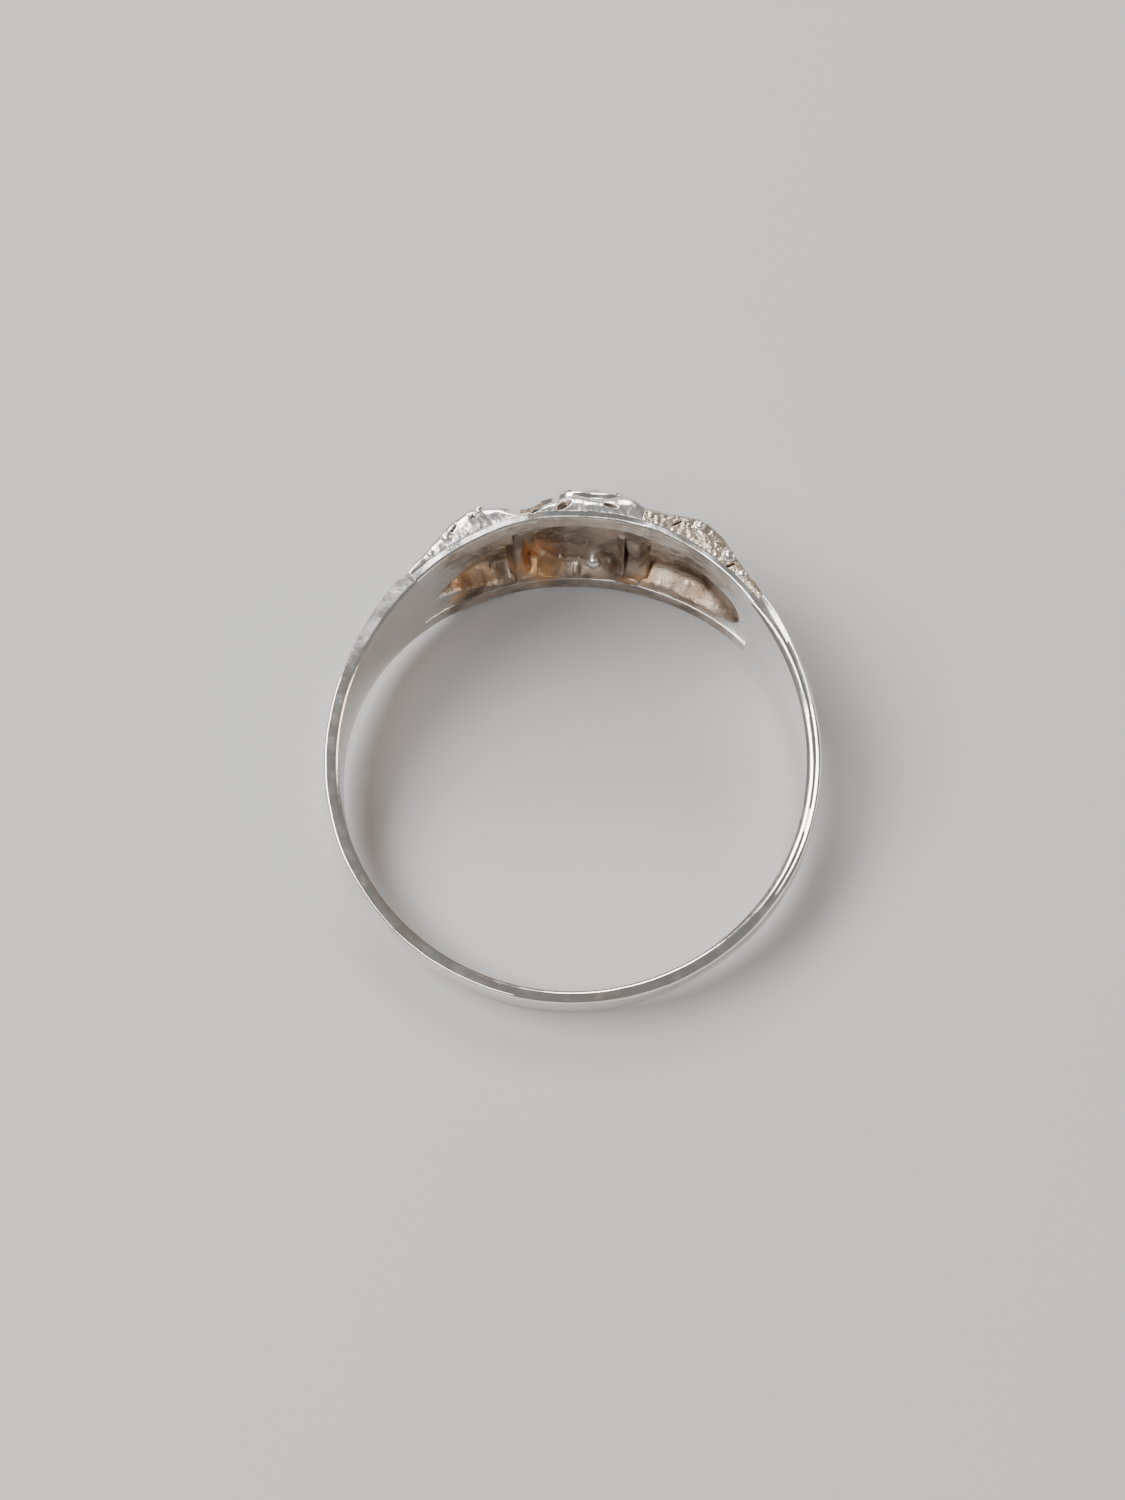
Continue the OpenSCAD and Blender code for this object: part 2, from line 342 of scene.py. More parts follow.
def paint(obj, name, rule):
    """Stores a number from 0 to 1 on every vertex, from its place on the flat ring."""
    values = obj.data.attributes.new(name, "FLOAT", "POINT").data
    for v in obj.data.vertices:
        values[v.index].value = min(1, max(0, rule(flat(v.co))))


def on_band(p, degrees, z):
    """How far a flat point is from a place on the band, in millimetres along it and across it."""
    return math.hypot((angle_of(p) - degrees) * MM_PER_DEGREE, p.z - z)


# Orange-gold tints in the hollow, and a painted gold glint in the left pocket (the two entries in the left pocket,
# at -36 and -31 degrees), as (angle, across, reach, strength)
TINT_AND_GLINT_SPOTS = [(-14.5, -1.2, 1.3, 1.0), (-12, -2.3, 1.0, 0.9), (-36, -1.4, 0.8, 1.0), (-31, -0.9, 0.7, 0.5)]
TINT_AND_GLINT_SPOTS += [(13.5, -1.9, 0.7, 0.6), (9.5, -2.3, 0.5, 0.5), (-13, 1.6, 0.9, 0.5)]


def tint(p):
    """How gold the hollow is at a place: tint patches, and a painted gold glint in the left pocket."""
    ragged = 0.35 * rough(p, 1.3, 81) + 0.2 * rough(p, 4, 83)
    return sum(strength * bump(on_band(p, a, z) * (1 + ragged), reach) for a, z, reach, strength in TINT_AND_GLINT_SPOTS)


def lathe_y(name, section, lobes, turns, smooth_under):
    """Turns a closed (radius, y) section round the head's own centre line, with a rule that ripples it."""
    loops = []
    for i in range(turns):
        turn = 360 * i / turns
        a = math.radians(turn)
        loop = []
        for radius, y in section:
            radius, y = lobes(turn, radius, y)
            loop.append(Vector((radius * math.sin(a), y, radius * math.cos(a))))
        loops.append(loop)
    return loft(name, loops, smooth_under, closed=True)


def outward_matrix(origin, normal):
    """Stands a shape's own +Z along a normal, its +X along the band."""
    z = Vector(normal).normalized()
    x = Vector((0, 0, 1)).cross(z) * -1
    x = x.normalized() if x.length > 1e-6 else Vector((1, 0, 0))
    y = z.cross(x)
    return Matrix.Translation(origin) @ Matrix((x, y, z)).transposed().to_4x4()


# ---------------------------------------------------------------- shader maths


class Wire:
    """A value socket that can be added, multiplied and compared."""

    def __init__(self, nodes, socket):
        self.nodes, self.socket = nodes, socket

    def math(self, operation, *others):
        return self.nodes.add("ShaderNodeMath", {"operation": operation}, self, *others)

    def __add__(self, other):
        return self.math("ADD", other)

    def __sub__(self, other):
        return self.math("SUBTRACT", other)

    def __mul__(self, other):
        return self.math("MULTIPLY", other)

    def __rsub__(self, other):
        return self.nodes.add("ShaderNodeMath", {"operation": "SUBTRACT"}, other, self)

    __radd__ = __add__
    __rmul__ = __mul__

    def ramp(self, low, high):
        """0 below low and 1 above high, smooth between."""
        settings = {"interpolation_type": "SMOOTHSTEP"}
        return self.nodes.add("ShaderNodeMapRange", settings, self, low, high, 0.0, 1.0)


class Shading:
    """Builds one material's nodes."""

    def __init__(self, name):
        self.material = bpy.data.materials.new(name)
        self.material.use_nodes = True
        self.tree = self.material.node_tree
        self.shader = self.tree.nodes["Principled BSDF"]

    def add(self, kind, settings=None, *inputs, output=0, **named):
        node = self.tree.nodes.new(kind)
        for key, value in (settings or {}).items():
            setattr(node, key, value)
        for socket, value in list(zip(node.inputs, inputs)) + [(node.inputs[k], v) for k, v in named.items()]:
            self.plug(socket, value)
        return Wire(self, node.outputs[output])

    def plug(self, socket, value):
        """Links a wire to a socket or sets its value, a colour with its alpha."""
        if isinstance(value, Wire):
            self.tree.links.new(value.socket, socket)
        elif socket.type == "RGBA":
            socket.default_value = (*value, 1)
        else:
            socket.default_value = value

    def mix(self, factor, a, b):
        """Mixes two colours. The colour sockets of a Mix node are its inputs 6 and 7 and its output 2."""
        node = self.tree.nodes.new("ShaderNodeMix")
        node.data_type = "RGBA"
        for index, value in ((0, factor), (6, a), (7, b)):
            self.plug(node.inputs[index], value)
        return Wire(self, node.outputs[2])

    def noise(self, per_mm, detail, stretch=None):
        """Noise on Object coordinates, of a fineness in features per millimetre, as a value round 0.5."""
        where = self.add("ShaderNodeTexCoord", output=3)
        if stretch:
            where = self.add("ShaderNodeMapping", None, where, Scale=stretch)
        return self.add("ShaderNodeTexNoise", None, where, Scale=per_mm / MM, Detail=detail)

    def attribute(self, name):
        return self.add("ShaderNodeAttribute", {"attribute_name": name}, output=2)

    def set(self, **values):
        """Sets or links sockets of the shader, whose names are written with _ for a space."""
        for name, value in values.items():
            self.plug(self.shader.inputs[name.replace("_", " ")], value)

    def bump(self, height, depth_mm):
        self.set(Normal=self.add("ShaderNodeBump", None, 1.0, depth_mm * MM, Height=height))


def scratches(m):
    """Fine lines in two directions, dense enough to spread the highlights."""
    along = m.noise(9, 2.0, (1, 0.12, 1))
    across = m.noise(11, 2.0, (0.15, 1, 0.8))
    return along * 0.5 + across * 0.5


def polished_silver():
    """Worn bright silver with a trace of warm tarnish and fine scratches."""
    f = finishes()
    m = Shading("polished_silver")
    wear = m.noise(0.45, 4.0)
    cloudy = m.noise(1.6, 5.0)
    lines = scratches(m)
    warm = wear.ramp(0.45, 0.72) * 0.5
    m.set(
        Base_Color=m.mix(warm, f.silver, f.warm_silver),
        Metallic=1.0,
        Roughness=f.polish + cloudy.ramp(0.4, 0.8) * 0.10 + lines.ramp(0.45, 0.7) * 0.05,
    )
    m.bump(cloudy * 0.7 + lines * 0.3, 0.01)
    return m.material


def gallery_silver():
    """Soft bright silver with painted shade in its slots and tarnish in patches, as on the worn sides of the head.
    """
    f = finishes()
    m = Shading("gallery_silver")
    grain = m.noise(6, 4.0)
    patches = m.noise(1.1, 4.0)
    # Painted shade in the slots from the painted attribute, plus random tarnish patches
    dirt = m.attribute("dirt") + patches.ramp(0.55, 0.8) * grain.ramp(0.4, 0.65) * 0.4
    m.set(
        Base_Color=m.mix(dirt.math("MINIMUM", 0.9), f.silver, f.tarnish),
        Metallic=1.0,
        Roughness=f.polish + 0.12 + dirt * 0.2,
    )
    m.bump(grain * 0.3 + m.noise(1.8, 3.0) * 0.8, 0.012)
    return m.material


def grainy_silver():
    """Silver left granular from the casting, bright on its grains and tan between them, on a warm ground that is a
    painted warm reflection.
    """
    f = finishes()
    m = Shading("grainy_silver")
    grain = m.noise(8, 4.0)
    patches = m.noise(1.3, 4.0)
    low = (1.0 - grain.ramp(0.42, 0.6)) * patches.ramp(0.3, 0.6)
    # Painted shade in the slots plus tarnish between the grains
    dirt = (m.attribute("dirt") + low * 0.5).math("MINIMUM", 0.9)
    m.set(
        # The warm silver ground here is a painted warm reflection on the right of the head
        Base_Color=m.mix(dirt, f.warm_silver, f.tarnish),
        Metallic=1.0,
        Roughness=f.polish + 0.1 + low * 0.25,
    )
    m.bump(grain + m.noise(3.2, 3.0) * 0.5, 0.03)
    return m.material


def casting_skin():
    """Unpolished casting skin: sandy, taupe and brown, with orange and gold tints in patches, a painted gold glint
    in the left pocket and painted shade in the back plate's pits.
    """
    f = finishes()
    m = Shading("casting_skin")
    sand = m.noise(13, 3.0)
    patches = m.noise(0.9, 4.0)
    worn = m.noise(2.6, 5.0)
    ground = m.mix(patches.ramp(0.38, 0.66), f.taupe, f.tarnish)
    # Orange-gold tint patches, and a painted gold glint in the left pocket
    tinted = m.mix((m.attribute("tint") * 0.9).math("MINIMUM", 0.9), ground, f.gold_tint)
    bright = worn.ramp(0.56, 0.68) * 0.5
    buffed = m.attribute("buffed")
    # Painted shade: near-black where the pits are marked
    pit_shaded = m.mix(m.attribute("dirt") * 0.85, m.mix(bright, tinted, f.warm_silver), f.soot)
    m.set(
        Base_Color=m.mix(buffed, pit_shaded, f.silver),
        Metallic=1.0,
        Roughness=(0.38 - bright * 0.2 + sand.ramp(0.4, 0.7) * 0.1) * (1.0 - buffed * 0.6),
    )
    m.bump(sand * 0.35 + worn * 0.8, 0.035)
    return m.material


def cut_stone():
    """A colourless stone with a faint cloud of wear on its facets."""
    m = Shading("cut_stone")
    wear = m.noise(5, 3.0)
    m.set(
        Base_Color=m.mix(wear.ramp(0.4, 0.7) * 0.3, (0.98, 0.99, 1.0), (0.9, 0.95, 1.0)),
        Roughness=0.004 + wear.ramp(0.55, 0.8) * 0.03,
        IOR=2.3,
        Transmission_Weight=1.0,
    )
    return m.material


def studio_floor():
    """Pale matt card with the faintest mottle."""
    f = stage_sizes()
    m = Shading("studio_floor")
    mottle = m.noise(0.08, 3.0)
    paler = tuple(min(1, c * 1.03) for c in f.floor_colour)
    m.set(Base_Color=m.mix(mottle, f.floor_colour, paler), Roughness=0.9 + mottle * 0.05)
    return m.material


LOOKS = [polished_silver, gallery_silver, grainy_silver, casting_skin, cut_stone, studio_floor]


def material(name):
    makers = {maker.__name__: maker for maker in LOOKS}
    return bpy.data.materials.get(name) or makers[name]()


def wear_material(obj, name):
    obj.data.materials.clear()
    obj.data.materials.append(material(name))


def wear_second(obj, name, holds):
    """A second material on the faces where a rule holds on their flat middle and flat normal."""
    obj.data.materials.append(material(name))
    for polygon in obj.data.polygons:
        normal = Vector([polygon.normal.dot(way) for way in (ACROSS, HEADWARDS, ALONG)])
        polygon.material_index = int(holds(flat(polygon.center), normal))


def settle(obj, look, node):
    """Gives a finished piece its material and its body, and hides the CAD node that it stands for."""
    wear_material(obj, look)
    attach(obj, "root")
    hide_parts(node)


# ---------------------------------------------------------------- sizes and colours that a user would change


def number(name, description, default, **settings):
    return bpy.props.FloatProperty(name=name, description=description, default=default, **settings)


def length(name, description, default):
    return number(name, description, default, unit="LENGTH", precision=5)


def colour(name, description, default):
    return bpy.props.FloatVectorProperty(
        name=name, description=description, default=default, subtype="COLOR", min=0, max=1
    )


class RingSizes(bpy.types.PropertyGroup):
    back_width: length("Back width", "Width of the band at the back", 0.0014)
    taper_power: number("Taper", "How quickly the band narrows", 2.3)
    shank_thickness: length("Shank thickness", "Mean thickness of the shank", 0.00062)
    shank_swell: length("Shank swell", "How much thicker the shank is at the head", 0.00026)
    dome_radius: length("Dome radius", "Radius of the dome across the shank", 0.009)
    rail_width: length("Rail width", "Width of the rails round the hole", 0.00085)
    gallery_thickness: length("Gallery thickness", "Thickness of the side plates", 0.0006)
    plate_thickness: length("Plate thickness", "Thickness of the shoulder plates", 0.0005)
    lump_height: length("Lump height", "Height of the hand-worn lumps in the silver", 0.00006)


class RingFinishes(bpy.types.PropertyGroup):
    silver: colour("Silver", "Bright silver", (0.93, 0.92, 0.90))
    # On the right gallery this warm colour is a painted warm reflection; elsewhere it is a trace of tarnish
    warm_silver: colour("Warm silver", "Silver with a trace of tarnish", (0.82, 0.72, 0.60))
    tarnish: colour("Tarnish", "Brown-grey tarnish in the hollows", (0.20, 0.14, 0.10))
    taupe: colour("Taupe", "Pale unpolished casting skin", (0.50, 0.40, 0.32))
    # Also the colour of a painted gold glint in the left pocket
    gold_tint: colour("Gold tint", "Orange-gold tint in patches of the hollow", (0.88, 0.50, 0.24))
    # Painted shade: the near-black put in the back plate's pits
    soot: colour("Soot", "Dark dirt at the bottom of pits", (0.05, 0.04, 0.03))
    polish: number("Polish", "Roughness of the polished silver", 0.14)


class StageSizes(bpy.types.PropertyGroup):
    azimuth: number("Azimuth", "Camera's turn to the right, in degrees", 4.5)
    elevation: number("Elevation", "Camera's height angle, in degrees", 62.9)
    distance: length("Distance", "Camera's distance from the finger hole", 0.0926)
    lens: number("Lens", "Focal length", 59.5, subtype="DISTANCE_CAMERA")
    aside: length("Aside", "How far left of the hole the camera aims", 0.00037)
    above: length("Above", "How far above the hole the camera aims", 0.00067)
    floor_colour: colour("Floor", "Colour of the floor", (0.47, 0.47, 0.48))


def sizes():
    return bpy.context.scene.ring_sizes


def finishes():
    return bpy.context.scene.ring_finishes


def stage_sizes():
    return bpy.context.scene.ring_stage


# ---------------------------------------------------------------- the band


def shank_outer(degrees, z):
    """Outer radius of the shank at an angle and across its width."""
    s = sizes()
    shift, radius, dome = (v / MM for v in (s.shank_swell / 2, s.shank_thickness, s.dome_radius))
    radius += BORE_R
    a = math.radians(degrees)
    middle = shift * math.cos(a) + math.sqrt(radius**2 - (shift * math.sin(a)) ** 2)
    flatter_at_head = 1 - 0.7 * smoothstep(0.2, 0.69, math.cos(a))
    return middle - (dome - math.sqrt(dome**2 - z * z)) * flatter_at_head


class RING_OT_shank(bpy.types.Operator):
    """Builds the tapered D-section band from one side of the head round to the other"""

    bl_idname = "ring.shank"
    bl_label = "Shank"

    def execute(self, context):
        tuck_in = 0.2
        start = node_span("near_rail")[1] - tuck_in
        loops = []
        for degrees in spread(start, 360 - start, 420):
            cos = math.cos(math.radians(degrees))
            inner_h, outer_h = half_width(BORE_R * cos), half_width((BORE_R + 0.5) * cos)
            right_side = smoothstep(44, 60, degrees) * (1 - smoothstep(105, 150, degrees))
            edge = shank_outer(degrees, outer_h)
            near = self.wall(inner_h, outer_h, edge, 0.12 + 0.14 * right_side)
            far = self.wall(inner_h, outer_h, edge, 0.12)
            bore_h, dome_h = inner_h - 0.17, outer_h - 0.11
            section = [(BORE_R, t * bore_h) for t in spread(-1, 1, 11)] + near
            section += [(shank_outer(degrees, t * dome_h), t * dome_h) for t in spread(1, -1, 19)]
            section += [(radius, -z) for radius, z in reversed(far)]
            loop = []
            for radius, z in section:
                p = polar(degrees, radius, z)
                outside = smoothstep(BORE_R + 0.1, BORE_R + 0.5, radius)
                radius += outside * (0.04 * rough(p, 0.35, 3) + 0.014 * rough(p, 1.3, 5))
                swell = 0.025 * rough(p, 0.45, 8) + 0.008 * rough(p, 1.6, 9)
                crease = 0.035 * right_side * bump(radius - lerp(BORE_R, edge, 0.62), 0.09)
                z += (swell - crease) * (1 if z > 0 else -1) * smoothstep(0.3, 0.9, abs(z) / outer_h)
                loop.append(polar(degrees, radius, z))
            loops.append(loop)
        obj = loft("shank_band", loops, smooth_under=32)
        settle(obj, "polished_silver", "shank")
        return {"FINISHED"}

    @staticmethod
    def wall(inner_h, outer_h, edge, bevel):
        """One side of the section from the finger hole out, as (radius, across), with a curved inner bevel."""
        curve = [(BORE_R + bevel * t, inner_h - bevel * 0.6 * (1 - t) ** 1.7) for t in (0, 0.15, 0.35, 0.6, 0.85, 1)]
        for t in (0.3, 0.55, 0.62, 0.7, 0.78):
            curve.append((lerp(BORE_R + bevel, edge, t), lerp(inner_h, outer_h, t)))
        return curve + [(edge - 0.06, outer_h - 0.01), (edge - 0.015, outer_h - 0.05)]


def rail_polish(p):
    """How brightly the rails' inner faces are polished: more towards the shank, in streaks along the grooves."""
    degrees = abs(angle_of(p))
    streaks = 0.35 + 0.3 * rough((degrees * 0.05, abs(p.z), 0), 7, 53)
    return max(streaks * (0.7 if p.x > 0 else 0.45), smoothstep(34, 45, degrees))


class RING_OT_rails(bpy.types.Operator):
    """Builds the near and far rails, grooved along the finger hole"""

    bl_idname = "ring.rails"
    bl_label = "Rails"

    def execute(self, context):
        width = sizes().rail_width / MM
        groove_pitch, groove_depth = 0.17, 0.02
        top = RAIL_TOP
        for side, name in ((NEAR, "near_rail"), (FAR, "far_rail")):
            low, high = node_span(name)
            loops = []
            for degrees in spread(low, high, 260):
                cos = math.cos(math.radians(degrees))
                corner_h, outer_h = half_width(BORE_R * cos), half_width(top * cos)
                corners = [(BORE_R, corner_h - width), (top, outer_h - width), (top, outer_h), (BORE_R, corner_h)]
                bevelled = smoothstep(0, 30, degrees) * (1 - smoothstep(38, 46, degrees))
                edge = 0.12 + 0.1 * bevelled if side == NEAR else 0.04
                inner_edge = 0.015 + (0.08 if side == NEAR else 0.04) * (1 - smoothstep(22, 38, abs(degrees)))
                faded = 0.25 + 0.75 * smoothstep(-8, 14, degrees)
                loop = []
                for radius, z in refined(rounded(corners, [inner_edge, 0.03, 0.015, edge]), [4, 2, 6, 14]):
                    p = polar(degrees, radius, z)
                    groove = math.sin((corner_h - z) * 2 * math.pi / groove_pitch + 2.5 * rough(p, 0.4, 2))
                    inner = 1 - smoothstep(BORE_R, BORE_R + 0.06, radius)
                    radius += inner * faded * groove_depth * (groove + 1) + 0.012 * rough(p, 1.1, 6)
                    z += 0.02 * rough(p, 0.8, 4)
                    loop.append(polar(degrees, radius, z * side))
                loops.append(loop)
            obj = loft(name + "_wire", loops, smooth_under=60)
            settle(obj, "polished_silver", name)
            wear_second(obj, "casting_skin", lambda p, normal: normal.xy.dot(p.xy) < -0.75 * p.xy.length)
            paint(obj, "tint", tint)
            paint(obj, "buffed", rail_polish)
        return {"FINISHED"}


# ---------------------------------------------------------------- the galleries

# Sawn slots on each gallery, as (angle, radius, half length, half width, tilt)
GALLERY_SLOTS = {
    "left": [(-32.5, 9.42, 0.26, 0.07, 28), (-27, 9.52, 0.18, 0.06, 10)],
    "right": [(20.5, 9.32, 0.26, 0.05, 55), (33.2, 9.34, 0.12, 0.08, 90), (36, 9.1, 0.2, 0.05, 60)],
    "centre": [(-6.2, 9.2, 0.34, 0.16, 35), (4.5, 9.26, 0.3, 0.08, -8), (-12.5, 9.08, 0.25, 0.07, 20)],
}


def slot_depth(part, point):
    """How deep a gallery's face is cut at a point."""
    depth = 0
    for angle, radius, half_length, half_slot, tilt in GALLERY_SLOTS[part]:
        away = point.xy - polar(angle, radius, 0).xy
        turn = math.radians(angle - tilt)
        u = away.x * math.cos(turn) - away.y * math.sin(turn)
        v = away.x * math.sin(turn) + away.y * math.cos(turn)
        share = math.hypot(u / half_length, v / half_slot)
        depth = max(depth, 0.28 * (1 - smoothstep(0.45, 1.15, share)))
    return depth


class RING_OT_galleries(bpy.types.Operator):
    """Builds the six side plates of the head, with their sawn slots and hand-worn lumps"""

    bl_idname = "ring.galleries"
    bl_label = "Galleries"

    def execute(self, context):
        thickness = sizes().gallery_thickness / MM
        lump = sizes().lump_height / MM
        base = RAIL_TOP
        for part in ("left", "centre", "right"):
            for side, word in ((NEAR, "near"), (FAR, "far")):
                name = f"{part}_{word}_gallery"
                low, high = node_span(name)
                outline = Outline(name, side * 0.93)
                loops = []
                grainy = 1.0 if part == "right" else 0.25
                for degrees in spread(low, high, int((high - low) * 7)):
                    cos = math.cos(math.radians(degrees))
                    calm = 1 - smoothstep(40, 46, abs(degrees))
                    crest = outline(degrees) + lump * calm * rough(polar(degrees, 9.7, side), 1.1, 11)
                    crest = max(crest - 0.1 * smoothstep(42, 46, abs(degrees)), base + 0.12)
                    root_h, crest_h = half_width(base * cos), half_width(crest * cos)
                    corners = [
                        (base, root_h - thickness),
                        (crest, crest_h - thickness),
                        (crest, crest_h),
                        (base, root_h),
                    ]
                    loop = []
                    for radius, z in refined(rounded(corners, [0.05, 0.12, 0.2, 0.015]), [6, 4, 24, 2]):
                        p = polar(degrees, radius, z * side)
                        facing = smoothstep(root_h - thickness * 0.6, root_h - 0.1, z)
                        share = min(1, max(0, (radius - base) / (crest - base)))
                        crown = 0.24 * share**2.2 * calm - 0.05 * math.sin(math.pi * share)
                        worn = lump * (0.9 * rough(p, 0.9, 21) + 0.5 * rough(p, 1.9, 22))
                        worn += lump * grainy * (0.5 * rough(p, 5, 23) + 0.35 * rough(p, 9, 24))
                        z -= facing * (slot_depth(part, p) + crown - worn * calm)
                        loop.append(polar(degrees, radius, z * side))
                    loops.append(loop)
                obj = loft(f"{part}_{word}_side", loops, smooth_under=70)
                # Painted shade in the sawn slots: darker the deeper the cut, towards the plate's outer face
                paint(
                    obj,
                    "dirt",
                    lambda p: slot_depth(part, p) * 3.2 * smoothstep(0.5, 0.8, abs(p.z) / half_width(p.y)),
                )
                look = "grainy_silver" if part == "right" else "gallery_silver"
                settle(obj, look, name)
        return {"FINISHED"}


# ---------------------------------------------------------------- the shoulders


# Pits in the pockets' floors, as (angle, across, reach)
POCKET_PITS = [(-36, -1.3, 0.22), (-24, -1.7, 0.16), (22, -1.9, 0.2), (17.5, 0.6, 0.16)]


def pocket(side, degrees, z, p):
    """How far into a shoulder's pocket a place is: 0 on the smooth inner face, 1 in the deepest part."""
    if side == LEFT:
        reach = 1.9 * (1 - smoothstep(22, 46.5, degrees) ** 0.8) * smoothstep(15, 21, degrees) ** 0.4
        middle = -0.25
    else:
        reach = 1.85 * math.sqrt(max(0, 1 - (max(0, degrees - 18) / 24.5) ** 2.6))
        middle = -0.15
    reach += 0.08 * rough(p, 1.2, 49)
    return smoothstep(0, 0.55, 1 - (abs(z - middle) / max(reach, 0.05)) ** 2.2) * smoothstep(0.05, 0.8, reach)


def buffed(side, p):
    """How brightly the inner face is polished: fully where it runs on into the shank, not at all in the pockets."""
    degrees = abs(angle_of(p))
    return (1 - pocket(side, degrees, p.z, p) * 1.6) * smoothstep(31, 43, degrees + 3 * rough(p, 1.5, 51))


class RING_OT_shoulders(bpy.types.Operator):
    """Builds both bent shoulder plates: seats for the stones outside, an unpolished vault inside"""

    bl_idname = "ring.shoulders"
    bl_label = "Shoulders"

    def execute(self, context):
        s = sizes()
        inset = s.gallery_thickness / MM - 0.03
        thickness = s.plate_thickness / MM
        over_rails = RAIL_TOP + 0.04
        run_in = 0.35
        for side, word in ((LEFT, "left"), (RIGHT, "right")):
            name = f"{word}_shoulder_plate"
            low, high = node_span(name)
            low, high = (low, high + run_in) if side == LEFT else (low - run_in, high)
            outline = Outline(name, 0.55, 1.6)
            accents = stone_frames(f"{word}_accent_stones")
            stones = stone_frames(f"{word}_side_stone") + accents
            lower, upper = [], []
            for degrees in spread(low, high, 150):
                cos = math.cos(math.radians(degrees))
                crest = outline(degrees)
                h = half_width(crest * cos) - inset
                rail_edge = half_width(BORE_R * cos) - s.rail_width / MM
                low_row, high_row = [], []
                for z in across_rails(h, rail_edge, 106):
                    t = z / h
                    p = polar(degrees, crest, z)
                    top = crest + 0.06 - 0.16 * abs(t) ** 3 + 0.02 * rough(p, 1.1, 31)
                    top -= 0.7 * smoothstep(0.6, 0.95, abs(t)) * (1 - smoothstep(19, 26, abs(degrees)))
                    for centre, axis, d in accents:
                        away = (p - centre).cross(axis).length
                        top -= 0.22 * (1 - smoothstep(0.15 * d, 0.56 * d, away))
                        top += 0.05 * bump(away - 0.72 * d, 0.18)
                    high_row.append(polar(degrees, top, z))
                    depth = pocket(side, abs(degrees), z, p)
                    sand = 0.012 * rough(p, 10, 41) + 0.03 * rough(p, 2.2, 43) + 0.02 * rough(p, 5, 47)
                    if side == RIGHT:
                        sand += 0.014 * math.sin(depth * 30) * smoothstep(30, 36, degrees) * (depth < 0.97)
                    for centre, axis, d in stones:
                        away = (p - centre).cross(axis).length
                        sand += 0.16 * (1 - smoothstep(0.16 * d, 0.3 * d, away)) * (depth > 0.9)
                    for angle, across, reach in POCKET_PITS:
                        sand += 0.14 * bump(on_band(p, angle, across), reach)
                    floor = lerp(BORE_R + 0.04, crest - thickness, depth) + sand * (0.3 + 0.7 * depth)
                    if abs(degrees) < 19.2 and side == LEFT:
                        floor = max(floor, crest - thickness)
                    if abs(z) > rail_edge:
                        floor = over_rails
                    low_row.append(polar(degrees, min(floor, top - 0.08), z))
                lower.append(low_row)
                upper.append(high_row)
            obj = slab(f"{word}_shoulder", lower, upper, smooth_under=60)
            settle(obj, "gallery_silver", name)
            wear_second(obj, "casting_skin", lambda p, normal: normal.xy.dot(p.xy) < 0)
            # Tint patches and a painted gold glint in the left pocket
            paint(obj, "tint", tint)
            paint(obj, "buffed", lambda p: buffed(side, p))
        return {"FINISHED"}


class RING_OT_ribs(bpy.types.Operator):
    """Builds the two rounded ribs across the hollow"""

    bl_idname = "ring.ribs"
    bl_label = "Ribs"

    def execute(self, context):
        for name in ("left_rib", "right_rib"):
            low, high = node_box(name)
            start, end = node_span(name)
            loops = []
            for z in spread(low.z, high.z, 70):
                out = abs(z / high.z)
                sway = 1.2 * rough((0, start, z), 0.5, 61)
                bottom = BORE_R + 0.18 + 0.06 * rough((start, 0, z), 1.1, 63) - 0.14 * out**3
                top = high.y / math.cos(math.radians((start + end) / 2)) + 0.15
                top -= 0.55 * smoothstep(1.1, 1.7, abs(z))
                middle = (start + end) / 2 + sway * (1 - out)
                wide = (end - start) / 2 * (1.1 + 0.5 * out**2)
                root, foot = wide * 1.9, wide * 0.75
                corners = [(middle - root, top), (middle + root, top)]
                corners += [(middle + foot, bottom), (middle - foot, bottom)]
                loops.append([polar(a, r + 0.02 * rough((a, r, z), 3, 65), z) for a, r in rounded(corners, 0.6)])
            obj = loft(name + "_bar", loops, smooth_under=60)
            paint(obj, "tint", tint)
            settle(obj, "casting_skin", name)
        return {"FINISHED"}


# ---------------------------------------------------------------- the centre


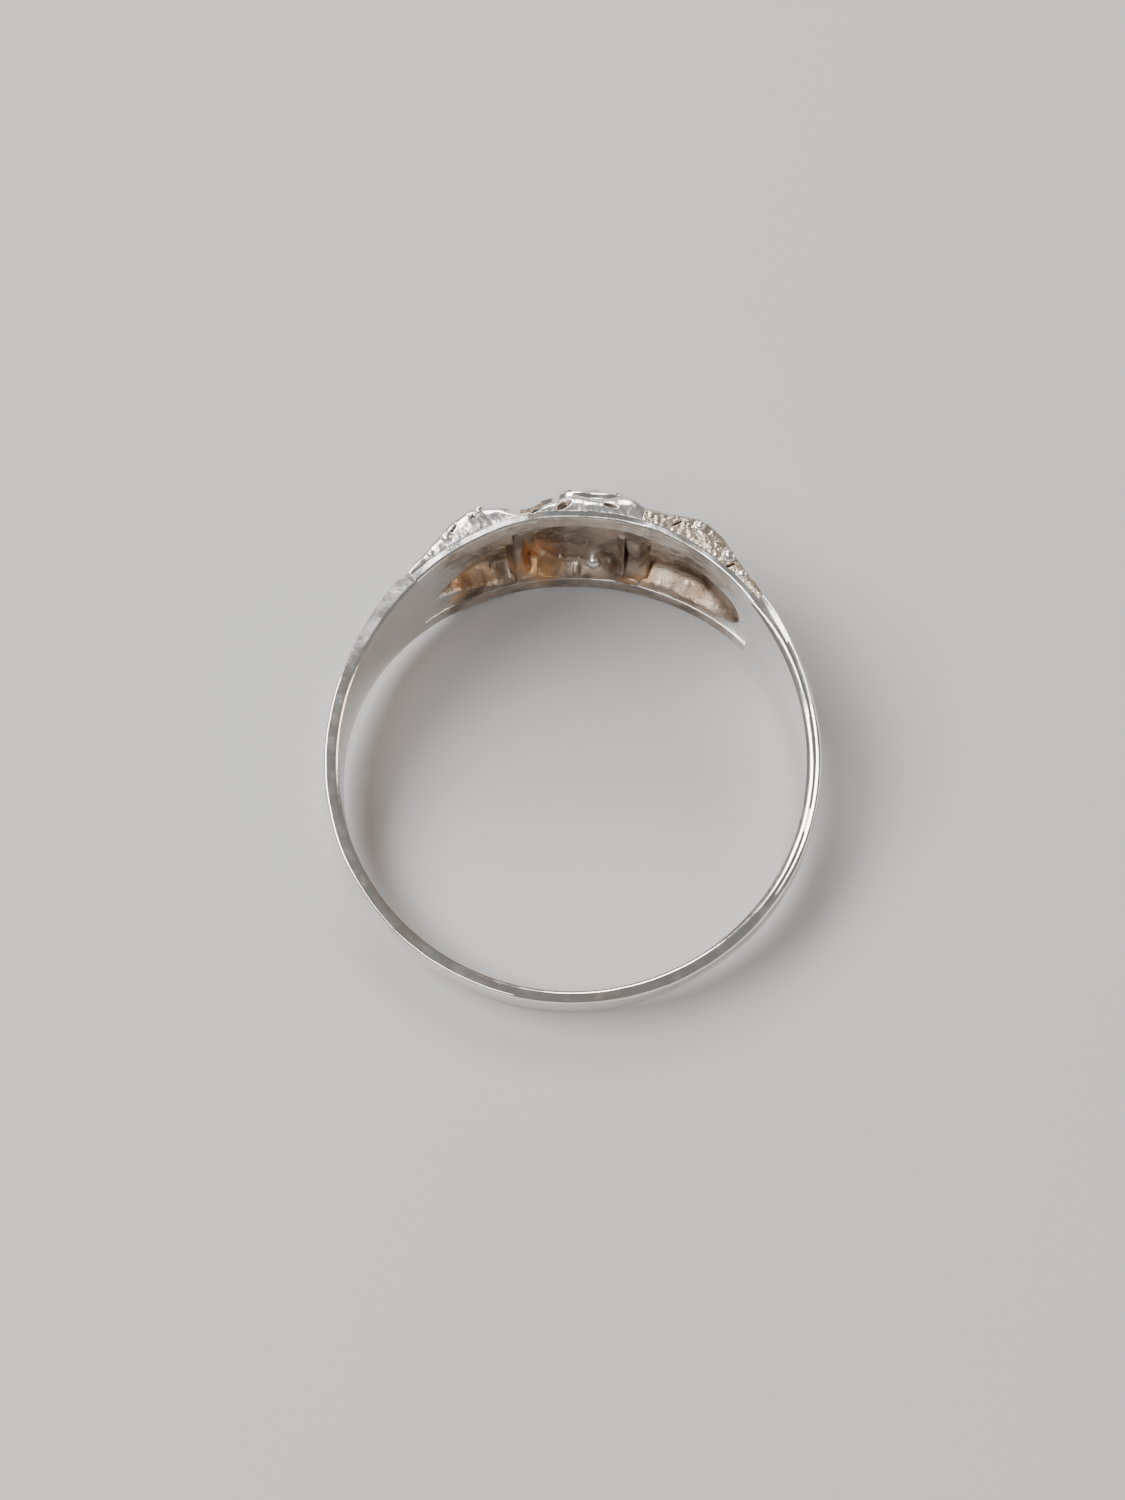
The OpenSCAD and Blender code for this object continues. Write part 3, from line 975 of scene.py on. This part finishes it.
class RING_OT_centre(bpy.types.Operator):
    """Builds the back plate with its pits and pegs, the lobed collet and the bright-cut plate round the stone"""

    bl_idname = "ring.centre"
    bl_label = "Centre setting"

    def execute(self, context):
        self.back_plate()
        self.pegs()
        self.collet()
        self.illusion_plate()
        return {"FINISHED"}

    def back_plate(self):
        low, high = node_box("centre_back_plate")
        pits = [(x, z) for x in (-1.25, -0.5) for z in (-1.9, 1.9)]
        balls = [(1.95, -1.0, 0.2), (1.7, -2.1, 0.3), (2.2, -1.75, 0.22), (2.25, 0.4, 0.25), (-0.55, -2.35, 0.16)]
        wider = 0.05
        lower, upper = [], []
        for x in spread(low.x - wider, high.x + wider, 150):
            flush = math.sqrt((BORE_R + 0.05) ** 2 - x * x)
            rail_edge = half_width(flush) - sizes().rail_width / MM
            low_row, high_row = [], []
            for z in across_rails(high.z, rail_edge, 140):
                p = Vector((x, low.y, z))
                across, up = (x + 0.55) / 1.95, z / (rail_edge - 0.02)
                inside = 1 - (abs(across) ** 3 + abs(up) ** 3)
                depth = smoothstep(-0.02, 0.5, inside + 0.05 * rough(p, 1.2, 77))
                if x > 1.35:
                    depth = max(depth, 0.85 * (1 - smoothstep(1.6, 2.1, abs(z + 0.15))))
                if x < -2.1:
                    depth = max(depth, 0.8 * (1 - smoothstep(1.7, 2.1, abs(z))))
                floor = lerp(flush, low.y + 0.1, depth)
                floor += 0.035 * rough(p, 1.1, 71) + 0.012 * rough(p, 3.1, 73) + 0.006 * rough(p, 9, 75)
                floor += 0.05 * rough(p, 2.6, 76) * smoothstep(1.5, 2.1, x)
                for pit_x, pit_z in pits:
                    away = math.hypot(x - pit_x, z - pit_z)
                    floor += 0.18 * (1 - smoothstep(0.1, 0.19, away)) - 0.015 * bump(away - 0.25, 0.07)
                for ball_x, ball_z, radius in balls:
                    away = math.hypot(x - ball_x, z - ball_z)
                    floor -= 0.14 * math.sqrt(max(0, 1 - (away / radius) ** 2))
                if abs(z) > rail_edge:
                    floor = BORE_R + 0.33
                corner = smoothstep(0.6, 1, abs(x) / high.x) * smoothstep(0.5, 1, abs(z) / high.z)
                top = high.y - 0.4 * corner
                low_row.append(Vector((x, min(floor, top - 0.06), z)))
                high_row.append(Vector((x, top, z)))
            lower.append(low_row)
            upper.append(high_row)
        obj = slab("back_plate", lower, upper, 60)
        paint(obj, "tint", lambda p: tint(p) * (p.y < low.y + 0.28))
        # Painted shade round each pit
        paint(obj, "dirt", lambda p: sum(1.6 * bump(math.hypot(p.x - x, p.z - z), 0.24) for x, z in pits))
        settle(obj, "casting_skin", "centre_back_plate")
        wear_second(obj, "polished_silver", lambda p, normal: p.y > low.y + 0.02 and normal.y > -0.12)

    def pegs(self):
        low, high = node_box("centre_pegs")
        middle_x, radius = (low.x + high.x) / 2, (high.x - low.x) / 2
        foot, head_height = low.y - 0.1, 0.28
        profile = [(0.0, foot)]
        for degrees in (15, 30, 45, 60, 75, 90):
            a = math.radians(degrees)
            profile.append((radius * math.sin(a), foot + head_height * (1 - math.cos(a))))
        profile += [(radius, high.y), (0.0, high.y)]
        verts, faces = [], []
        for side in (NEAR, FAR):
            add_turned(verts, faces, profile, Vector((middle_x, 0, side * (high.z - radius))), 40)
        settle(finish_mesh("peg_heads", verts, faces, 50), "gallery_silver", "centre_pegs")

    def collet(self):
        low, high = node_box("centre_collet")
        radius = (high.z - low.z) / 2
        inner, foot = radius - 0.7, radius - 0.12
        corners = [(inner, low.y), (inner, high.y), (radius, high.y), (foot, low.y)]
        section = refined(rounded(corners, 0.12), [4, 3, 8, 3])

        def lobed(turn, r, y):
            wave = math.cos(math.radians(8 * turn))
            outer = smoothstep(radius - 0.5, radius, r)
            height = (y - low.y) / (high.y - low.y)
            arch = bump(wave - 1, 0.9) * bump(height - 0.55, 0.42)
            r -= outer * (0.075 * (1 + wave) + 0.16 * arch)
            return r, y - 0.16 * height * smoothstep(0.3, 1, wave)

        obj = lathe_y("collet", section, lobed, 240, 55)
        settle(obj, "gallery_silver", "centre_collet")

    def illusion_plate(self):
        low, high = node_box("centre_illusion_plate")
        stone_d = stone_frames("centre_stone")[0][2]
        radius = (high.z - low.z) / 2
        seat = stone_d / 2
        corners = [
            (seat * 0.72, low.y),
            (seat * 0.72, high.y - 0.36),
            (seat + 0.02, high.y - 0.02),
            (seat + 0.16, high.y),
            (radius - 0.12, low.y + 0.3),
            (radius, low.y + 0.2),
            (radius - 0.03, low.y),
        ]
        section = refined(rounded(corners, 0.05, 3), [2, 2, 1, 12, 1, 2, 4], 3)

        def bright_cut(turn, r, y):
            wave = abs((turn * 16 / 360) % 1 - 0.5) * 2
            across = bump(r - (seat + radius) / 2 - 0.05, (radius - seat) / 2 - 0.05)
            edge = smoothstep(radius - 0.4, radius, r)
            lobe = 1 + math.cos(math.radians(8 * turn))
            return r - edge * 0.07 * lobe, y - 0.16 * across * (wave - 0.3) * (y > low.y + 0.1)

        obj = lathe_y("bright_cut_plate", section, bright_cut, 256, 18)
        settle(obj, "polished_silver", "centre_illusion_plate")


def add_turned(verts, faces, profile, origin, turns):
    """Adds a (radius, y) profile turned about +y through origin, with each end closed to a point on the axis."""
    start = len(verts)
    verts.append(origin + Vector((0, profile[0][1], 0)))
    verts.append(origin + Vector((0, profile[-1][1], 0)))
    rings = profile[1:-1]
    for radius, y in rings:
        for i in range(turns):
            a = 2 * math.pi * i / turns
            verts.append(origin + Vector((radius * math.sin(a), y, radius * math.cos(a))))
    for i in range(turns):
        j = (i + 1) % turns
        faces.append((start, start + 2 + i, start + 2 + j))
        last = start + 2 + (len(rings) - 1) * turns
        faces.append((start + 1, last + j, last + i))
        for k in range(len(rings) - 1):
            a, b = start + 2 + k * turns, start + 2 + (k + 1) * turns
            faces.append((a + i, a + j, b + j, b + i))


class RING_OT_side_plates(bpy.types.Operator):
    """Builds the clipped plate under each side stone, with bright-cut rays and a chamfered border"""

    bl_idname = "ring.side_plates"
    bl_label = "Side plates"

    def execute(self, context):
        for word in ("left", "right"):
            name = f"{word}_illusion_plate"
            centre, axis, stone_d = stone_frames(f"{word}_side_stone")[0]
            stand = outward_matrix(centre, axis)
            turned = stand.inverted()
            points = [turned @ p for p in node_points(name)]
            low, high = min(p.z for p in points), max(p.z for p in points)
            across, wide = max(abs(p.x) for p in points), max(abs(p.y) for p in points)
            clipped = across + wide - 0.75
            seat, hole = stone_d / 2, stone_d / 2 * 0.7
            turns, rays, tiny = 192, 16, 1e-6
            loops = []
            for i in range(turns):
                a = 2 * math.pi * i / turns
                c, s = math.cos(a), math.sin(a)
                reach = min(across / max(abs(c), tiny), wide / max(abs(s), tiny), clipped / (abs(c) + abs(s)))
                ray = abs((i * rays / turns) % 1 - 0.5) * 2
                steps = [(hole, low), (hole, high - 0.2), (seat + 0.03, high - 0.01)]
                for t in (0.15, 0.4, 0.65, 0.85):
                    steps.append((lerp(seat, reach, t), high - 0.10 * ray * math.sin(math.pi * t)))
                steps += [(reach - 0.05, high), (reach, high - 0.05), (reach, low)]
                loops.append([stand @ Vector((radius * c, radius * s, height)) for radius, height in steps])
            obj = loft(f"{word}_bright_cut_plate", loops, smooth_under=16, closed=True)
            settle(obj, "polished_silver", name)
        return {"FINISHED"}


# ---------------------------------------------------------------- what repeats


def bead_tree():
    """Beads set on points: each point carries its size and the way it faces."""
    tree = bpy.data.node_groups.new("beads_on_points", "GeometryNodeTree")
    face = tree.interface
    face.new_socket("Geometry", in_out="INPUT", socket_type="NodeSocketGeometry")
    for name, kind, default in (
        ("Stretch", "NodeSocketFloat", 1.0),
        ("Lumps", "NodeSocketFloat", 0.1),
        ("Fineness", "NodeSocketFloat", 4000.0),
        ("Seed", "NodeSocketFloat", 3.0),
    ):
        face.new_socket(name, in_out="INPUT", socket_type=kind).default_value = default
    face.new_socket("Finish", in_out="INPUT", socket_type="NodeSocketMaterial")
    face.new_socket("Geometry", in_out="OUTPUT", socket_type="NodeSocketGeometry")

    def add(kind, inputs=None, **settings):
        """A node with its settings, and its inputs by name or place: a socket is linked, a value is set."""
        node = tree.nodes.new(kind)
        for key, value in settings.items():
            setattr(node, key, value)
        for key, value in (inputs or {}).items():
            if isinstance(value, bpy.types.NodeSocket):
                tree.links.new(value, node.inputs[key])
            else:
                node.inputs[key].default_value = value
        return node.outputs

    def stored(name, data_type):
        return add("GeometryNodeInputNamedAttribute", {"Name": name}, data_type=data_type)["Attribute"]

    given = add("NodeGroupInput")
    ball = add("GeometryNodeMeshUVSphere", {"Segments": 24, "Rings": 16, "Radius": 1})
    turn = add("FunctionNodeAlignRotationToVector", {"Vector": stored("bead_facing", "FLOAT_VECTOR")}, axis="Z")
    tall = add("ShaderNodeCombineXYZ", {0: 1, 1: 1, 2: given["Stretch"]})
    scale = add("ShaderNodeVectorMath", {0: tall[0], "Scale": stored("bead_size", "FLOAT")}, operation="SCALE")
    put_on = {"Points": given["Geometry"], "Instance": ball["Mesh"], "Rotation": turn["Rotation"], "Scale": scale[0]}
    real = add("GeometryNodeRealizeInstances", {0: add("GeometryNodeInstanceOnPoints", put_on)[0]})
    lumps = add("ShaderNodeTexNoise", {"Scale": given["Fineness"], "W": given["Seed"]}, noise_dimensions="4D")
    centred = add("ShaderNodeMath", {0: lumps[0], 1: 0.5}, operation="SUBTRACT")
    amount = add("ShaderNodeMath", {0: centred[0], 1: given["Lumps"]}, operation="MULTIPLY")
    normal = add("GeometryNodeInputNormal")
    push = add("ShaderNodeVectorMath", {0: normal[0], "Scale": amount[0]}, operation="SCALE")
    moved = add("GeometryNodeSetPosition", {"Geometry": real[0], "Offset": push[0]})
    smooth = add("GeometryNodeSetShadeSmooth", {0: moved[0]})
    finish = add("GeometryNodeSetMaterial", {"Geometry": smooth[0], "Material": given["Finish"]})
    add("NodeGroupOutput", {0: finish[0]})
    return tree


def beads(name, spots, look, lumps_mm, stretch):
    """One object of lumpy beads: spots are (flat point, flat direction, radius in mm)."""
    mesh = bpy.data.meshes.new(name + "_points")
    mesh.from_pydata([place(*p) for p, _, _ in spots], [], [])
    size = mesh.attributes.new("bead_size", "FLOAT", "POINT")
    facing = mesh.attributes.new("bead_facing", "FLOAT_VECTOR", "POINT")
    for i, (p, way, radius) in enumerate(spots):
        size.data[i].value = radius * MM
        facing.data[i].vector = (place(*(Vector(p) + Vector(way))) - place(*p)).normalized()
    source = add_object(name + "_points", mesh)
    tree = bpy.data.node_groups.get("beads_on_points") or bead_tree()
    modifier = source.modifiers.new("beads", "NODES")
    modifier.node_group = tree
    values = {"Stretch": stretch, "Lumps": lumps_mm * MM, "Seed": float(len(name)), "Finish": material(look)}
    for item in tree.interface.items_tree:
        if item.item_type == "SOCKET" and item.in_out == "INPUT" and item.name in values:
            modifier[item.identifier] = values[item.name]
    bpy.context.view_layer.update()
    baked = bpy.data.meshes.new_from_object(source.evaluated_get(bpy.context.evaluated_depsgraph_get()))
    bpy.data.objects.remove(source)
    baked.name = name
    return add_object(name, baked)


class RING_OT_beads(bpy.types.Operator):
    """Sets the beads on the galleries' faces and the grains that hold the side and accent stones"""

    bl_idname = "ring.beads"
    bl_label = "Beads and grains"

    def execute(self, context):
        for word in ("left", "right"):
            spots = []
            for middle, size in islands(f"{word}_gallery_beads"):
                radius = max(size) / 2
                way = Vector((0, -0.3, NEAR if middle.z > 0 else FAR))
                sunk = way.normalized() * radius * 0.45
                spots.append((middle - sunk, way, radius))
            obj = beads(f"{word}_raised_beads", spots, "gallery_silver", 0.1, 0.9)
            settle(obj, "gallery_silver", f"{word}_gallery_beads")
            for part, held in (("side", "side_stone"), ("accent", "accent_stones")):
                node = f"{word}_{part}_grains"
                stones = stone_frames(f"{word}_{held}")
                spots = []
                for middle, size in islands(node):
                    centre, way, _ = min(stones, key=lambda f: (f[0] - middle).length)
                    lean = (middle - centre).normalized() * -0.5
                    spots.append((middle, way + lean, sorted(size)[1] / 2))
                obj = beads(f"{word}_{part}_grain_set", spots, "polished_silver", 0.02, 1.25)
                settle(obj, "polished_silver", node)
        return {"FINISHED"}


class RING_OT_claws(bpy.types.Operator):
    """Builds four claws that bend in over the centre stone's edge"""

    bl_idname = "ring.claws"
    bl_label = "Claws"

    def execute(self, context):
        low, high = node_box("centre_claws")
        stone_d = stone_frames("centre_stone")[0][2]
        verts, faces = [], []
        base_r, tip_y = 0.2, high.y - 0.02
        levels, sides = 14, 16
        for turn in (45, 135, 225, 315):
            start = len(verts)
            a = math.radians(turn)
            way = Vector((math.sin(a), 0, math.cos(a)))
            aside = way.cross(Vector((0, 1, 0)))
            for t in spread(0, 1, levels):
                y = lerp(low.y - 0.05, tip_y, t)
                lean = 0.2 * smoothstep(0.62, 1, t)
                middle = way * (stone_d / 2 + base_r + 0.02 - lean) + Vector((0, y, 0))
                r = base_r * (1.08 - 0.3 * t) * math.sqrt(max(0.02, 1 - smoothstep(0.86, 1.0, t) * 0.98))
                for b in spread(0, 2 * math.pi * (sides - 1) / sides, sides):
                    verts.append(middle + way * r * math.cos(b) + aside * r * math.sin(b))
            for i in range(levels - 1):
                for j in range(sides):
                    a0, a1 = start + i * sides + j, start + i * sides + (j + 1) % sides
                    faces.append((a0, a1, a1 + sides, a0 + sides))
            faces.append(tuple(range(start, start + sides)))
            faces.append(tuple(range(len(verts) - 1, len(verts) - 1 - sides, -1)))
        settle(finish_mesh("claws", verts, faces, 60), "polished_silver", "centre_claws")
        return {"FINISHED"}


# ---------------------------------------------------------------- the stones


def brilliant(verts, faces, centre, axis, d):
    """Adds a round brilliant: eight-sided table, kite and half facets above, mains and halves below."""
    stand = outward_matrix(centre, axis)
    thick, crown = 0.03 * d, 0.15 * d
    # Rings of corners as (count, first angle, radius, height): table, stars, girdle twice, halves and culet
    rings = [
        (8, 0, 0.28 * d, thick + crown),
        (8, 22.5, 0.395 * d, thick + crown * 0.52),
        (16, 0, 0.5 * d, thick),
        (16, 0, 0.5 * d, 0),
        (8, 22.5, 0.12 * d, -0.33 * d),
        (1, 0, 0, -0.42 * d),
    ]
    first = []
    for count, start, r, height in rings:
        first.append(len(verts))
        for i in range(count):
            a = math.radians(360 / count * i + start)
            verts.append(stand @ Vector((r * math.cos(a), r * math.sin(a), height)))
    table, star, upper, lower, half, culet = first
    faces.append(tuple(table + i for i in range(8)))
    for i in range(8):
        n, before, mid = (i + 1) % 8, (i - 1) % 8, 2 * i
        faces.append((table + n, table + i, star + i))
        faces.append((table + i, star + before, upper + mid, star + i))
        faces.append((star + i, upper + mid, upper + mid + 1))
        faces.append((star + i, upper + mid + 1, upper + (mid + 2) % 16))
        faces.append((culet, half + before, lower + mid, half + i))
        faces.append((half + i, lower + mid, lower + mid + 1))
        faces.append((half + i, lower + mid + 1, lower + (mid + 2) % 16))
    for i in range(16):
        j = (i + 1) % 16
        faces.append((upper + i, lower + i, lower + j, upper + j))


class RING_OT_stones(bpy.types.Operator):
    """Cuts the centre stone, the side stones and the accent stones"""

    bl_idname = "ring.stones"
    bl_label = "Stones"

    def execute(self, context):
        sides = [f"{word}_{stones}" for stones in ("side_stone", "accent_stones") for word in ("left", "right")]
        for node in ["centre_stone"] + sides:
            verts, faces = [], []
            for centre, axis, d in stone_frames(node):
                brilliant(verts, faces, centre, axis, d)
            obj = finish_mesh(node + "_cut", verts, faces, 2)
            settle(obj, "cut_stone", node)
        return {"FINISHED"}


# ---------------------------------------------------------------- the stage


class RING_OT_stage(bpy.types.Operator):
    """Sets the floor, the soft lights and the camera"""

    bl_idname = "ring.stage"
    bl_label = "Stage"

    def execute(self, context):
        self.floor()
        self.lights(context)
        self.camera(context)
        return {"FINISHED"}

    def floor(self):
        z = min(CAD_BOX[0][2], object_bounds()[0][2])
        half = 0.6
        mesh = bpy.data.meshes.new("floor")
        corners = [(-half, -half, z), (half, -half, z), (half, half, z), (-half, half, z)]
        mesh.from_pydata(corners, [], [(0, 1, 2, 3)])
        floor = add_object("floor", mesh)
        wear_material(floor, "studio_floor")
        floor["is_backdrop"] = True

    def light(self, name, where, size, power, warmth):
        data = bpy.data.lights.new(name, "AREA")
        data.shape, data.size, data.size_y = "RECTANGLE", size[0], size[1]
        data.energy, data.color = power, warmth
        lamp = add_object(name, data)
        lamp.location = where
        lamp.rotation_euler = (-Vector(where)).to_track_quat("-Z", "Y").to_euler()

    def lights(self, context):
        self.light("left_softbox", (-0.26, 0.02, 0.30), (0.30, 0.20), 2.3, (1.0, 0.98, 0.95))
        self.light("front_softbox", (-0.14, -0.24, 0.40), (0.20, 0.20), 0.85, (1.0, 0.98, 0.96))
        self.light("back_softbox", (-0.10, 0.34, 0.26), (0.20, 0.12), 1.1, (1.0, 0.97, 0.93))
        self.light("right_fill", (0.34, -0.02, 0.20), (0.20, 0.16), 0.5, (1.0, 0.82, 0.64))
        world = bpy.data.worlds.new("studio")
        world.use_nodes = True
        background = world.node_tree.nodes["Background"]
        background.inputs["Color"].default_value = (0.86, 0.84, 0.82, 1)
        background.inputs["Strength"].default_value = 0.24
        context.scene.world = world

    def camera(self, context):
        s = stage_sizes()
        a, e = math.radians(s.azimuth), math.radians(s.elevation)
        back = Vector((math.sin(a) * math.cos(e), -math.cos(a) * math.cos(e), math.sin(e)))
        turn = back.to_track_quat("Z", "Y")
        data = bpy.data.cameras.new("camera")
        data.lens, data.sensor_width, data.clip_start, data.clip_end = s.lens, 36, 0.002, 5
        camera = add_object("camera", data)
        aim = HOLE_CENTRE + turn @ Vector((-s.aside, s.above, 0))
        camera.location = aim + back * s.distance
        camera.rotation_euler = turn.to_euler()
        context.scene.camera = camera


class RING_PT_panel(bpy.types.Panel):
    """Lists the ring's sizes and the steps that build it"""

    bl_label = "Engagement ring"
    bl_idname = "RING_PT_panel"
    bl_space_type = "VIEW_3D"
    bl_region_type = "UI"
    bl_category = "Ring"

    def draw(self, context):
        for group in (context.scene.ring_sizes, context.scene.ring_finishes, context.scene.ring_stage):
            box = self.layout.box()
            for name in group.bl_rna.properties.keys():
                if name not in ("rna_type", "name"):
                    box.prop(group, name)
        for step in STEPS:
            self.layout.operator(step.bl_idname)


STEPS = [
    RING_OT_shank,
    RING_OT_rails,
    RING_OT_galleries,
    RING_OT_shoulders,
    RING_OT_ribs,
    RING_OT_centre,
    RING_OT_side_plates,
    RING_OT_beads,
    RING_OT_claws,
    RING_OT_stones,
    RING_OT_stage,
]
GROUPS = {"ring_sizes": RingSizes, "ring_finishes": RingFinishes, "ring_stage": StageSizes}


def register():
    for name, group in GROUPS.items():
        bpy.utils.register_class(group)
        setattr(bpy.types.Scene, name, bpy.props.PointerProperty(type=group))
    for step in STEPS:
        bpy.utils.register_class(step)
    bpy.utils.register_class(RING_PT_panel)


def unregister():
    bpy.utils.unregister_class(RING_PT_panel)
    for step in reversed(STEPS):
        bpy.utils.unregister_class(step)
    for name, group in GROUPS.items():
        delattr(bpy.types.Scene, name)
        bpy.utils.unregister_class(group)


def main():
    register()
    for step in STEPS:
        category, name = step.bl_idname.split(".")
        getattr(getattr(bpy.ops, category), name)()


if __name__ == "__main__":
    main()
